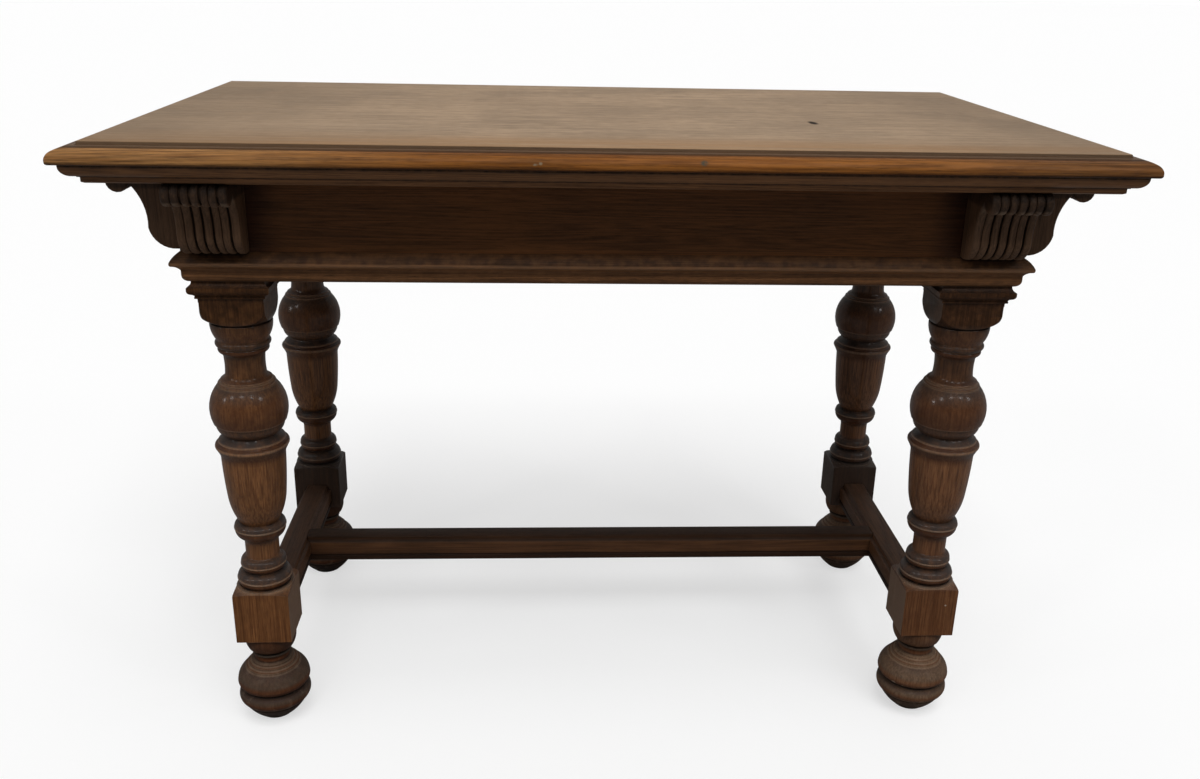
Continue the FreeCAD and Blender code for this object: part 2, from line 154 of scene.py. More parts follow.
# Where the bands lie, from the floor up: height in millimetres, coat and strength
FOOT_BANDS = (
    (0, "grey", 0.5), (20, "grey", 0.4), (22.6, "black", 0.6), (23.6, "black", 0.6), (25.2, "bare and highlight", 0.35),
    (27, "red", 0.2), (33, "red", 0.5), (37, "dust and painted light", 0.3), (40.5, "grey", 0.75), (43, "grey", 0.6),
    (44, "black", 0.95), (48.2, "black", 0.9), (50, "red", 0.5), (57, "red", 0.4), (62, "dust and painted light", 0.4),
    (65, "dust and painted light", 0.3), (73.6, "grey", 0.6), (75.2, "bare and highlight", 0.22), (76.4, "bare and highlight", 0.15),
    (77.8, "umber", 0.8), (79.4, "bare and highlight", 0.2), (80.6, "bare and highlight", 0.12), (82, "umber", 0.8),
    (83.4, "bare and highlight", 0.2), (84.8, "bare and highlight", 0.08), (87.2, "black", 0.7), (90, "red", 0.7), (94.5, "umber", 0.6),
    (97, "dust and painted light", 0.8), (99.2, "black", 0.9), (103.4, "black", 0.95), (105.4, "red", 0.3),
)
LOW_BANDS = (
    (126, "umber", 0.4), (185, "umber", 0.35), (194.4, "umber", 0.5), (195.4, "bare and highlight", 0.4),
    (197, "bare and highlight", 0.4), (198, "black", 0.95), (200.4, "black", 0.9), (201.6, "umber", 0.9),
    (205.8, "umber", 0.8), (206.6, "bare and highlight", 0.6), (207.8, "bare and highlight", 0.5), (208.8, "grey", 0.9),
    (215.5, "grey", 0.95), (217, "black", 0.95), (219.2, "black", 0.9), (220.4, "umber", 0.9),
    (224.8, "umber", 0.8), (225.6, "bare and highlight", 0.6), (226.8, "bare and highlight", 0.4), (227.8, "grey", 0.9),
    (234.6, "grey", 0.9), (236.8, "black", 0.6), (240, "umber", 0.1), (258, "umber", 0.1),
    (262, "umber", 0.8), (276, "umber", 0.95), (276.8, "bare and highlight", 0.6), (278, "bare and highlight", 0.5), (279, "grey", 0.9),
    (284.6, "grey", 0.95), (286.4, "black", 0.8), (292, "umber", 0),
)
HIGH_BANDS = (
    (372, "umber", 0), (380, "umber", 0.7), (387.6, "umber", 0.7), (389.8, "bare and highlight", 0.28),
    (391, "bare and highlight", 0.3), (392.4, "umber", 0.9), (395.6, "umber", 0.9), (396.5, "bare and highlight", 0.35),
    (397.3, "bare and highlight", 0.28), (398.4, "grey", 0.9), (403, "grey", 0.95), (405.4, "black", 0.8),
    (409, "grey", 0.7), (418.6, "grey", 0.6), (420.2, "bare and highlight", 0.2), (422, "umber", 0.75),
    (450, "umber", 0.65), (462, "grey", 0.5), (467.2, "grey", 0.75), (468.8, "bare and highlight", 0.35),
    (471, "umber", 0.9), (473, "bare and highlight", 0.35), (475.6, "umber", 0.8), (480, "brown", 0.6),
    (504, "brown", 0.6), (510, "umber", 0.9), (515.4, "umber", 0.9), (516.6, "bare and highlight", 0.4),
    (518, "grey", 0.95), (525.2, "black", 0.6), (528, "umber", 0.4), (549, "brown", 0.75),
)
BED_BANDS = (
    (604, "black", 0.6), (607, "brown", 0.45), (617.6, "brown", 0.35), (618.6, "black", 0.5),
    (623.4, "umber", 0.3), (625, "dust and painted light", 0.4), (628.2, "dust and painted light", 0.4), (629.4, "brown", 0.75),
    (640, "brown", 0.65), (700, "brown", 0), (727, "grey", 0.3), (728.6, "dust and painted light", 0.2), (732.4, "dust and painted light", 0.1),
    (733.4, "black", 0.8), (735.4, "black", 0.7), (736.8, "dust and painted light", 0.2), (741, "dust and painted light", 0.1),
    (744.4, "dust and painted light", 0.2), (746.2, "black", 0.8), (748.5, "black", 0.9),
)
# Painted shadow of the bed frame and the top over the corbel's roll, darkest at the top
CORBEL_ROLL_SHADOW = (
    (700, "black", 0), (706, "black", 0), (709, "black", 0.65), (727, "black", 0.95),
)
# Colours laid over the wood: stains and worn wood where some is gone, and painted light and shade: a darker
# riser, a painted shadow in the quirk, a painted sheen on the blocks' sides and painted shade on the back
# blocks
STAINS_AND_SHADES = {
    "riser": (0.135, 0.086, 0.052), "quirk": (0.040, 0.018, 0.007), "front": (0.350, 0.196, 0.090),
    "cloud": (0.165, 0.112, 0.072), "knot": (0.030, 0.019, 0.012), "side sheen": (0.265, 0.176, 0.122),
    "shaded": (0.040, 0.031, 0.026), "fleck": (0.42, 0.35, 0.27), "chip": (0.50, 0.40, 0.29),
    "old nick": (0.078, 0.062, 0.040), "new nick": (0.240, 0.180, 0.110),
}
# Factors on the wood's red, green and blue; the nose's foot and the frieze's ends take painted shade
TINTS = {
    "line": (0.52, 0.46, 0.42), "band": (0.78, 0.70, 0.62), "left nose": (1.40, 1.85, 3.20),
    "right nose": (0.80, 0.92, 1.45), "nose foot": (0.45, 0.42, 0.40), "frieze end": (0.42, 0.38, 0.45),
    "right leg": (0.78, 0.80, 0.95), "left foot": (0.66, 0.66, 0.72), "right foot": (1.50, 1.72, 1.95),
    "end cap": (0.9, 0.9, 0.9), "long cap": (0.45, 0.45, 0.45), "fillet": (0.34, 0.34, 0.38),
}
# Patterns of the wood: stretch along the grain, then the noise's scale, detail, roughness and distortion
PATTERNS = {
    "figure": (0.02, 30.0, 2.0, 0.5, 0.15), "streaks": (0.02, 640.0, 3.0, 0.65),
    "bands": (0.03, 75.0, 3.0, 0.55), "clouds": (1, 7.5, 3.0, 0.55), "pores": (0.035, 1900.0, 1.0, 0.5),
    "grain": (0.035, 120.0, 6.0, 0.70), "flecks": (0.20, 210.0, 2.0, 0.6),
}
# Heights over which a finish or its painted light and shade changes, in metres
NOSE_FOOT = (0.7490, 0.7530)
QUIRK_FOOT = (0.7645, 0.7650)
QUIRK_HEAD = (0.7655, 0.7661)
RISER_FOOT = (0.7653, 0.7659)
FIELD_EDGE = (0.7690, 0.7698)
ROLL_FOOT = (0.699, 0.701)
ROLL_HEAD = (0.706, 0.710)
HEAD_BLOCK_FOOT = (0.551, 0.556)
LOW_BLOCK_HEAD = (0.190, 0.194)
LOW_SHADE_HEAD = (0.195, 0.215)
SCUFF_HEAD = (0.0, 0.06)
# Half the height over which one member of a stretcher changes to the next, in metres
MEMBER_EDGE = 0.0006
# How far from a leg's middle the frieze's painted shade starts and is darkest, in metres
CORNER_SHADE = (0.075, 0.035)
# Place and radii in metres of the knot in the top, the pale fleck on a foot block and the nicks in the nose
KNOT = ((0.2548, -0.0884, 0.770), (0.0075, 0.020, 0.02))
FLECK = ((0.4505, -0.2278, 0.1715), (0.0017, 0.004, 0.0015))
NICKS = (
    ((0.0880, -0.3315, 0.7585), (0.0055, 0.006, 0.0040), "old nick"),
    ((-0.0850, -0.3340, 0.7555), (0.0040, 0.004, 0.0018), "new nick"),
    ((-0.0795, -0.3340, 0.7565), (0.0026, 0.004, 0.0022), "new nick"),
)
# Chips on the lower edge of the right front bun: place and radius in metres
CHIPS = (
    ((0.3963, -0.2226, 0.049), 0.0045), ((0.3897, -0.2123, 0.049), 0.0028),
    ((0.4058, -0.231, 0.049), 0.0024),
)
# Directions towards the lights, and their spread in degrees
LAMP_ROW = [(along, -0.62, 0.72) for along in (-1.7, -0.7, -0.15, 0.33, 0.9)]
LAMP_SPREAD = 8
SOFT_LIGHTS = {
    "front": ((0.08, -0.44, 1.0), 40), "top": ((0.1, 0.05, 1.0), 90), "back": ((0.25, 1.0, 0.24), 60),
}
# How far off the lights stand, and half the floor's width, in metres
LIGHT_DISTANCE = 4
FLOOR_HALF = 40
WHITE = (1.0, 1.0, 1.0, 1.0)


class TableSizes(PropertyGroup):
    """Sizes of the table that a user may change."""

    leg_x: FloatProperty(
        name="Leg place along", description="From the table's middle to a leg's middle, along the top",
        default=0.431, unit="LENGTH",
    )
    leg_y: FloatProperty(
        name="Leg place across", description="From the table's middle to a leg's middle, across the top",
        default=0.193, unit="LENGTH",
    )
    head_width: FloatProperty(
        name="Head block", description="Width of the square block at a leg's head",
        default=0.0735, unit="LENGTH",
    )
    foot_width: FloatProperty(
        name="Foot block", description="Width of the square block at a leg's foot",
        default=0.0695, unit="LENGTH",
    )
    corbel_width: FloatProperty(
        name="Corbel width", description="Width of a corbel over its reeds", default=0.068, unit="LENGTH",
    )
    corbel_shift: FloatProperty(
        name="Corbel shift", description="How far a corbel stands outwards of the leg's middle",
        default=0.0045, unit="LENGTH",
    )
    reed_round: FloatProperty(
        name="Reed rounding", description="Radius along the edges of a reed", default=0.0028, unit="LENGTH",
    )
    groove_width: FloatProperty(
        name="Groove width", description="Floor of a groove between two reeds",
        default=0.0021, unit="LENGTH",
    )
    worn_edge: FloatProperty(
        name="Worn edge", description="Radius of a corner that handling has worn",
        default=0.0006, unit="LENGTH",
    )
    turning_steps: IntProperty(
        name="Turning steps", description="Faces round a turned leg or foot", default=80, min=24,
    )
    arc_steps: IntProperty(
        name="Arc steps", description="Edges in an arc of an outline", default=8, min=2,
    )


class TableColours(PropertyGroup):
    """Colours of the oak's finishes."""

    top: FloatVectorProperty(
        name="Top", description="Rubbed field of the top", default=(0.372, 0.262, 0.170), subtype="COLOR",
    )
    nose: FloatVectorProperty(
        name="Nose", description="Polished edge of the top", default=(0.235, 0.086, 0.0165), subtype="COLOR",
    )
    # The mouldings' colour is partly painted light: it is lifted to make up for the top's shade on them
    moulding: FloatVectorProperty(
        name="Mouldings", description="Bed frame and base moulding",
        default=(0.310, 0.138, 0.054), subtype="COLOR",
    )
    frieze: FloatVectorProperty(
        name="Frieze", description="Frieze boards", default=(0.160, 0.060, 0.017), subtype="COLOR",
    )
    carved: FloatVectorProperty(
        name="Corbels", description="Carved corbels", default=(0.130, 0.070, 0.038), subtype="COLOR",
    )
    turned: FloatVectorProperty(
        name="Legs", description="Turned legs", default=(0.305, 0.126, 0.043), subtype="COLOR",
    )
    foot: FloatVectorProperty(
        name="Feet", description="Bun feet", default=(0.125, 0.060, 0.029), subtype="COLOR",
    )
    stretcher: FloatVectorProperty(
        name="Stretchers", description="Stretchers", default=(0.105, 0.046, 0.020), subtype="COLOR",
    )
    inner: FloatVectorProperty(
        name="Inside", description="Bare oak inside the frieze",
        default=(0.270, 0.170, 0.090), subtype="COLOR",
    )
    dirt_and_shade: FloatVectorProperty(
        name="Dirt", description="Old polish and dirt in the quirks",
        default=(0.012, 0.007, 0.004), subtype="COLOR",
    )
    worn: FloatVectorProperty(
        name="Worn edges", description="Bare wood on rubbed edges",
        default=(0.270, 0.185, 0.125), subtype="COLOR",
    )
    grime_and_reflection: FloatVectorProperty(
        name="Grime", description="Grey grime on faces that look up",
        default=(0.040, 0.031, 0.027), subtype="COLOR",
    )
    floor: FloatVectorProperty(
        name="Floor", description="Studio floor", default=(0.95, 0.95, 0.95), subtype="COLOR",
    )


class TableStage(PropertyGroup):
    """Camera and light."""

    camera_place: FloatVectorProperty(
        name="Camera place", description="Where the camera stands", default=(-0.08168, -1.49363, 0.94733),
        subtype="XYZ", unit="LENGTH",
    )
    camera_heading: FloatProperty(
        name="Heading", description="Turn to the right of straight ahead", default=math.radians(3.331),
        subtype="ANGLE",
    )
    camera_dip: FloatProperty(
        name="Dip", description="Tilt below the horizon", default=math.radians(20.535), subtype="ANGLE",
    )
    camera_roll: FloatProperty(
        name="Roll", description="Turn about the line of sight",
        default=math.radians(1.259), subtype="ANGLE",
    )
    camera_lens: FloatProperty(
        name="Lens", description="Focal length on a 36 mm wide frame", default=34.066, unit="CAMERA",
    )
    lamp_strength: FloatProperty(
        name="Ceiling lamps", description="Strength of each lamp in the row ahead of the table",
        default=0.14,
    )
    front_strength: FloatProperty(
        name="Front light", description="Strength of the soft light high in front", default=1.75,
    )
    top_strength: FloatProperty(
        name="Top light", description="Strength of the broad light from above", default=0.65,
    )
    back_strength: FloatProperty(
        name="Back light", description="Strength of the low soft light behind the table", default=0.42,
    )
    room_strength: FloatProperty(
        name="Room light", description="Strength of the even light from the camera's side", default=0.09,
    )
    backdrop_strength: FloatProperty(
        name="Backdrop light", description="Strength of the even light from behind the table", default=0.20,
    )
    bounce: FloatProperty(
        name="Floor bounce", description="How much light the floor sends back to the table", default=0.20,
        subtype="FACTOR",
    )
    floor_glow: FloatProperty(
        name="Floor whiteness", description="How far the floor that the camera sees is lifted to white",
        default=0.6, subtype="FACTOR",
    )


def sizes():
    return bpy.context.scene.table_sizes


def colours():
    return bpy.context.scene.table_colours


def arc(start, middle, end, steps):
    """Points of the arc from start through middle to end, without start."""
    a, b, c = (Vector(p) for p in (start, middle, end))
    cross = (b - a).cross(c - a)
    ab, ac = (b - a).length_squared, (c - a).length_squared
    centre = a + Vector((
        (c - a).y * ab - (b - a).y * ac,
        (b - a).x * ac - (c - a).x * ab,
    )) / (2 * cross)
    first = math.atan2(a.y - centre.y, a.x - centre.x)
    last = math.atan2(c.y - centre.y, c.x - centre.x)
    sweep = (last - first) % math.tau
    if cross < 0:
        sweep -= math.tau
    radius = (a - centre).length
    angles = [first + sweep * i / steps for i in range(1, steps)]
    return [centre + radius * Vector((math.cos(t), math.sin(t))) for t in angles] + [c]


def trace(rows, closed=False, worn=True):
    """Points of an outline in metres. Its corners are rounded if they are worn."""
    points = [Vector(rows[0])]
    for row in rows[1:]:
        if len(row) == 2:
            points.append(Vector(row))
        else:
            points += arc(points[-1], row[:2], row[2:], sizes().arc_steps)
    points = [p * MM for p in points]
    if not worn:
        return points
    soft = []
    for i, here in enumerate(points):
        before, after = points[i - 1] - here, points[(i + 1) % len(points)] - here
        ends = not closed and i in (0, len(points) - 1)
        if ends or abs(here.x) < MM / 10 or before.angle(after) > FLAT_CORNER:
            soft.append(here)
            continue
        cut = min(sizes().worn_edge, before.length / 3, after.length / 3)
        near, far = here + before.normalized() * cut, here + after.normalized() * cut
        soft += [near, (near + far) / 4 + here / 2, far]
    return soft


def clear():
    """Leaves edit mode with nothing selected."""
    if bpy.context.mode != "OBJECT":
        bpy.ops.object.mode_set(mode="OBJECT")
    bpy.ops.object.select_all(action="DESELECT")


def pick(piece):
    """Leaves edit mode with only this piece selected."""
    clear()
    bpy.context.view_layer.objects.active = piece
    piece.select_set(True)


def begin(name):
    """Adds a small plane, names it and opens it in edit mode."""
    clear()
    bpy.ops.mesh.primitive_plane_add(size=2)
    piece = bpy.context.object
    piece.name = piece.data.name = name
    bpy.ops.object.mode_set(mode="EDIT")
    bpy.ops.mesh.select_mode(type="VERT")
    bpy.ops.mesh.select_all(action="SELECT")
    return piece


def widen(x, y):
    """Scales what is selected about the upright axis."""
    bpy.ops.transform.resize(value=(x, y, 1), center_override=(0, 0, 0))


def pull(by):
    """Draws the selected faces out."""
    bpy.ops.mesh.extrude_region_move(TRANSFORM_OT_translate={"value": by})


def draw(name, points):
    """A line of edges, drawn out from one vertex."""
    piece = begin(name)
    bpy.ops.mesh.merge(type="CENTER")
    bpy.ops.transform.translate(value=points[0])
    for here, there in zip(points, points[1:]):
        bpy.ops.mesh.extrude_vertices_move(TRANSFORM_OT_translate={"value": there - here})
    bpy.ops.mesh.select_all(action="SELECT")
    return piece


def tidy():
    """Merges doubles, turns the faces outwards and leaves edit mode."""
    bpy.ops.mesh.select_all(action="SELECT")
    bpy.ops.mesh.remove_doubles(threshold=MM / 100)
    bpy.ops.mesh.normals_make_consistent(inside=False)
    bpy.ops.object.mode_set(mode="OBJECT")


def capped(piece):
    """Closes a solid where it is still open, then tidies it."""
    bpy.ops.mesh.select_all(action="DESELECT")
    bpy.ops.mesh.select_non_manifold()
    if piece.data.total_edge_sel:
        bpy.ops.mesh.edge_face_add()
    tidy()
    return piece


def turned(name, rows):
    """A turned solid on the upright axis."""
    piece = draw(name, [Vector((r, 0, z)) for r, z in trace(rows)])
    bpy.ops.mesh.spin(steps=sizes().turning_steps, angle=math.tau, center=(0, 0, 0), axis=(0, 0, 1))
    tidy()
    return piece


def drawn_out(name, points, length):
    """A closed outline filled and drawn out along a length."""
    piece = draw(name, points)
    bpy.ops.mesh.edge_face_add()
    pull(length)
    tidy()
    return piece


def stepped(name, half_x, half_y, rows):
    """A rectangular solid built up ring by ring along an edge outline, with mitred corners."""
    points = trace(rows)
    piece = begin(name)
    across, height = points[0]
    widen(half_x + across, half_y + across)
    bpy.ops.transform.translate(value=(0, 0, height))
    for here, there in zip(points, points[1:]):
        pull((0, 0, there.y - here.y))
        widen((half_x + there.x) / (half_x + here.x), (half_y + there.x) / (half_y + here.x))
    return capped(piece)


def squared(name, width, low, high):
    """A square block on the upright axis with worn upright edges."""
    piece = begin(name)
    widen(width / 2, width / 2)
    bpy.ops.transform.translate(value=(0, 0, low))
    bpy.ops.mesh.bevel(affect="VERTICES", offset=sizes().worn_edge * BLOCK_WEAR, segments=3)
    bpy.ops.mesh.select_all(action="SELECT")
    pull((0, 0, high - low))
    return capped(piece)


def combine(piece, other, operation):
    """Joins, cuts or trims a piece with another one, which is used up."""
    pick(piece)
    modifier = piece.modifiers.new("Joint", "BOOLEAN")
    modifier.operation = operation
    modifier.solver = "EXACT"
    modifier.object = other
    bpy.ops.object.modifier_apply(modifier=modifier.name)
    bpy.data.objects.remove(other)
    return piece


def cut(piece, planes):
    """Cuts a piece at planes, each a point and the direction of the waste."""
    pick(piece)
    bpy.ops.object.mode_set(mode="EDIT")
    for place, waste in planes:
        bpy.ops.mesh.select_all(action="SELECT")
        bpy.ops.mesh.bisect(
            plane_co=place, plane_no=waste, use_fill=True, clear_outer=True, threshold=MM / 1000,
        )
    tidy()
    return piece


def copied(piece, name, place):
    """A copy with its own mesh, moved to its place."""
    pick(piece)
    bpy.ops.object.duplicate(linked=False)
    copy = bpy.context.object
    copy.name = copy.data.name = name
    copy.matrix_world = place
    bpy.ops.object.transform_apply(location=True, rotation=True, scale=True)
    return copy


def rounded_ends(piece, radius):
    """Rounds the edges of a length's two end faces."""
    pick(piece)
    bpy.ops.object.mode_set(mode="EDIT")
    bpy.ops.mesh.select_mode(type="FACE")
    bpy.ops.mesh.select_all(action="DESELECT")
    bpy.ops.mesh.select_face_by_sides(number=4, type="GREATER")
    bpy.ops.mesh.region_to_loop()
    bpy.ops.mesh.bevel(affect="EDGES", offset=radius, segments=4, clamp_overlap=False)
    bpy.ops.mesh.select_mode(type="VERT")
    tidy()
    return piece


def finished(piece, node, material):
    """Smooths a piece, gives it its finish and lets it stand for its CAD node."""
    pick(piece)
    bpy.ops.object.shade_smooth_by_angle(angle=SHARP_EDGE)
    piece.data.materials.clear()
    piece.data.materials.append(material)
    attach(piece, "root")
    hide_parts(node)


def set_stops(elements, stops):
    """Gives a colour ramp its stops, each a place from 0 to 1 and a colour."""
    elements[0].position, elements[0].color = stops[0]
    elements[1].position, elements[1].color = stops[-1]
    for place, tint in stops[1:-1]:
        elements.new(place).color = tint


class Strand:
    """One socket of a finish. A sum on strands adds Math nodes."""

    def __init__(self, tree, socket=None):
        self.tree = tree
        self.socket = socket

    def add(self, kind, settings=None, sockets=None, out=0):
        """Adds a node: its settings or a ramp's stops first, then the values or links of its sockets."""
        node = self.tree.nodes.new("ShaderNode" + kind)
        for key, value in (settings or {}).items():
            if key == "stops":
                set_stops(node.color_ramp.elements, value)
            else:
                setattr(node, key, value)
        for key, value in (sockets or {}).items():
            if isinstance(value, Strand):
                self.tree.links.new(value.socket, node.inputs[key])
            else:
                node.inputs[key].default_value = value
        return Strand(self.tree, node.outputs[out] if len(node.outputs) else None)

    def math(self, operation, first, second):
        return self.add("Math", {"operation": operation}, {0: first, 1: second})

    def __add__(self, other):
        return self.math("ADD", self, other)

    def __sub__(self, other):
        return self.math("SUBTRACT", self, other)

    def __rsub__(self, other):
        return self.math("SUBTRACT", other, self)

    def __mul__(self, other):
        return self.math("MULTIPLY", self, other)

    __radd__ = __add__
    __rmul__ = __mul__

    def top(self, other):
        return self.math("MAXIMUM", self, other)

    def ramp(self, low, high, start=0.0, end=1.0):
        """Smooth step from start at low to end at high."""
        sockets = {0: self, 1: low, 2: high, 3: start, 4: end}
        return self.add("MapRange", {"interpolation_type": "SMOOTHSTEP"}, sockets)

    def fall(self, low, high):
        """Smooth step from 1 at low to 0 at high."""
        return self.ramp(low, high, 1.0, 0.0)

    def size(self):
        """The strand without its sign."""
        return self.math("ABSOLUTE", self, 0.0)

    def mix(self, first, second, blend="MIX"):
        """Colour from first to second as this strand goes from 0 to 1."""
        settings = {"data_type": "RGBA", "blend_type": blend, "clamp_factor": True}
        return self.add("Mix", settings, {0: self, 6: first, 7: second}, out=2)

    def part(self, axis):
        return self.add("SeparateXYZ", None, {0: self}, out=axis)

    def mapped(self, scale=(1, 1, 1), turn=(0, 0, 0), place=(0, 0, 0)):
        sockets = {"Vector": self, "Location": place, "Rotation": turn, "Scale": scale}
        return self.add("Mapping", None, sockets)

    def noise(self, scale, detail=2.0, roughness=0.5, distortion=0.0):
        sockets = {
            "Vector": self, "Scale": scale, "Detail": detail,
            "Roughness": roughness, "Distortion": distortion,
        }
        return self.add("TexNoise", None, sockets)


def colour(value, factor=1.0):
    return (value[0] * factor, value[1] * factor, value[2] * factor, 1.0)


GRAIN_TURNS = {"X": (0, math.pi / 2, 0), "Y": (math.pi / 2, 0, 0), "Z": (0, 0, 0)}


class Oak:
    """An oak finish being made: its wood, then what time has done to it and the light and shade painted on
    it, then its shader.
    """

    def __init__(self, name, body, grain, offset=0.0, figured=1.0):
        self.material = bpy.data.materials.new(name)
        self.material.use_nodes = True
        self.tree = self.material.node_tree
        self.tree.nodes.clear()
        start = Strand(self.tree)
        self.place = start.add("TexCoord", out="Object")
        self.normal = start.add("NewGeometry", out="Normal")
        self.wood = self.place.mapped(turn=GRAIN_TURNS[grain], place=(offset, 1.7 * offset, 0.3 * offset))
        figure = self.pattern("figure") * 30.0
        rings = 2 * figure.math("PINGPONG", figure, 0.5)
        streaks = self.pattern("streaks")
        self.bands, self.clouds = self.pattern("bands"), self.pattern("clouds")
        self.specks = self.place.noise(95.0, 3.0, 0.6)
        self.pores = self.pattern("pores").ramp(0.50, 0.72) * (1.1 - 0.6 * figured * rings)
        tone = 0.50 * streaks + 0.14 * figured * rings + 0.26 * self.bands + 0.30 * self.clouds
        self.colour = tone.ramp(0.36, 0.80).mix(colour(body, 0.55), colour(body, 1.36))
        self.rough = self.clouds.ramp(0.3, 0.7, -0.05, 0.06)
        self.height = 0.45 * streaks - 0.9 * self.pores

    def pattern(self, name):
        """One of the wood's patterns, drawn out along the grain."""
        stretch, *noise = PATTERNS[name]
        return self.wood.mapped(scale=(1, 1, stretch)).noise(*noise)

    def stained_and_shaded(self, mask, mark, amount=1.0):
        """Wood under one of the laid-over colours where the mask is 1; some are stains and worn wood, some
        are painted light and shade.
        """
        self.colour = (mask * amount).mix(self.colour, colour(STAINS_AND_SHADES[mark]))

    def tinted(self, mask, tint):
        """Wood lighter or darker by a tint where the mask is 1."""
        self.colour = mask.mix(self.colour, colour(TINTS[tint]), "MULTIPLY")

    def lined(self, pitch, amount):
        """Dark lines along the grain, about a pitch apart."""
        lines = self.wood.mapped(scale=(1, 1, 0.03)).noise(1 / pitch, 2.0, 0.6).fall(0.38, 0.56)
        self.tinted(lines * amount, "line")

    def banded(self, rows):
        """Wood under a band of colour for each height, in rows of millimetres, coat and strength; the bands
        hold dirt and wear and also painted shadow, highlight, reflection and light.
        """
        low, high = rows[0][0], rows[-1][0]
        stops = [((z - low) / (high - low), (*COATS_AND_SHADES[coat], strength)) for z, coat, strength in rows]
        level = (self.place.part(2) - low * MM) * (1 / ((high - low) * MM))
        tint = level.add("ValToRGB", {"stops": stops}, {0: level})
        alpha = Strand(self.tree, tint.socket.node.outputs["Alpha"])
        strength = alpha * self.specks.ramp(0.25, 0.70, 0.65, 1.1)
        self.colour = strength.mix(self.colour, tint)

    def pored(self, amount):
        """Open pores, darker than the wood round them."""
        self.colour = (self.pores * amount).mix(self.colour, colour(colours().dirt_and_shade, 1.6))
        self.rough = self.rough + self.pores * 0.18

    def dirty_and_shaded(self, reach, amount):
        """Dirt and old polish, and painted shade, where the surface is shut in."""
        shut = self.normal.add("AmbientOcclusion", {"samples": 8}, {"Distance": reach}, out="AO")
        mask = (1 - shut).ramp(0.30, 0.86) * self.specks.ramp(0.25, 0.75, 0.75, 1.15) * amount
        self.colour = mask.mix(self.colour, colour(colours().dirt_and_shade))
        self.rough = self.rough + mask * 0.22

    def rubbed(self, reach, amount, tint=1.0):
        """Paler wood along edges that stick out."""
        settings = {"samples": 8, "inside": True, "only_local": True}
        edge = self.normal.add("AmbientOcclusion", settings, {"Distance": reach}, out="AO")
        mask = (1 - edge).ramp(0.22, 0.70) * self.specks.ramp(0.38, 0.66) * amount
        self.colour = mask.mix(self.colour, colour(colours().worn, tint))
        self.rough = self.rough + mask * 0.12

    def grimed_and_reflecting(self, amount):
        """Grey grime and a painted reflection on faces that look up."""
        mask = self.normal.part(2).ramp(0.12, 0.72) * self.specks.ramp(0.2, 0.8, 0.7, 1.0) * amount
        self.colour = mask.mix(self.colour, colour(colours().grime_and_reflection))
        self.rough = self.rough + mask * 0.12

    def made(self, gloss, relief=0.0003, shine=0.2, coat=0.0, coat_gloss=0.2):
        """Ends the finish: gloss is the shader's roughness before wear."""
        bump = self.height.add("Bump", None, {"Strength": 0.55, "Distance": relief, "Height": self.height})
        shader = self.height.add("BsdfPrincipled", None, {
            "Base Color": self.colour, "Roughness": (self.rough + gloss).top(0.08), "Normal": bump,
            "Specular IOR Level": shine, "Coat Weight": coat, "Coat Roughness": coat_gloss,
        })
        shader.add("OutputMaterial", None, {"Surface": shader})
        return self.material


def spot(oak, place, radii):
    """Mask of 1 at a place, falling to 0 at the radii."""
    away = oak.place.mapped(place=[-p / r for p, r in zip(place, radii)], scale=[1 / r for r in radii])
    return away.add("VectorMath", {"operation": "LENGTH"}, {0: away}, out="Value").fall(0.35, 1.0)


def top_finish():
    oak = Oak("oak_top_finish", colours().nose, "X", 0.13)
    along, across, height = (oak.place.part(axis) for axis in range(3))
    oak.pored(0.50)
    oak.lined(0.0032, 0.6)
    oak.tinted(oak.bands.fall(0.34, 0.46), "band")
    oak.tinted(along.fall(-0.450, -0.150), "left nose")
    oak.tinted(along.ramp(0.250, 0.500), "right nose")
    # A darker brown on the riser between the field and the nose
    oak.stained_and_shaded(height.ramp(*RISER_FOOT), "riser", 0.9)
    # Painted shadow in the quirk under the riser
    oak.stained_and_shaded(height.ramp(*QUIRK_FOOT) * height.fall(*QUIRK_HEAD), "quirk", 0.85)
    for place, radii, mark in NICKS:
        oak.stained_and_shaded(spot(oak, place, radii) * oak.specks.ramp(0.38, 0.52), mark)
    # Painted shade along the underside of the nose
    oak.tinted(height.fall(*NOSE_FOOT), "nose foot")
    oak.dirty_and_shaded(0.006, 0.9)
    oak.rubbed(0.003, 0.4, 0.9)
    field = height.ramp(*FIELD_EDGE)
    fade = 0.20 * oak.clouds + 0.50 * oak.pattern("grain") + 0.30 * oak.pattern("flecks")
    pale = fade.ramp(0.38, 0.62).mix(colour(colours().top, 0.72), colour(colours().top, 1.23))
    pale = (oak.pores * 0.16).mix(pale, colour(colours().top, 0.45))
    front = across.fall(-0.312, -0.190) * oak.bands.ramp(0.35, 0.65, 0.35, 0.9)
    pale = front.mix(pale, colour(STAINS_AND_SHADES["front"]))
    ends = along.size().ramp(0.20, 0.56)
    pale = (ends * 0.42).mix(pale, colour(colours().top, 0.50))
    shade = oak.place.mapped(place=(3.1, 0.4, 0)).noise(3.6, 2.0, 0.5).ramp(0.50, 0.72)
    pale = (shade * 0.16).mix(pale, colour(STAINS_AND_SHADES["cloud"]))
    pale = spot(oak, *KNOT).mix(pale, colour(STAINS_AND_SHADES["knot"]))
    oak.colour = field.mix(oak.colour, pale)
    oak.rough = oak.rough + field * 0.20
    return oak.made(0.34)


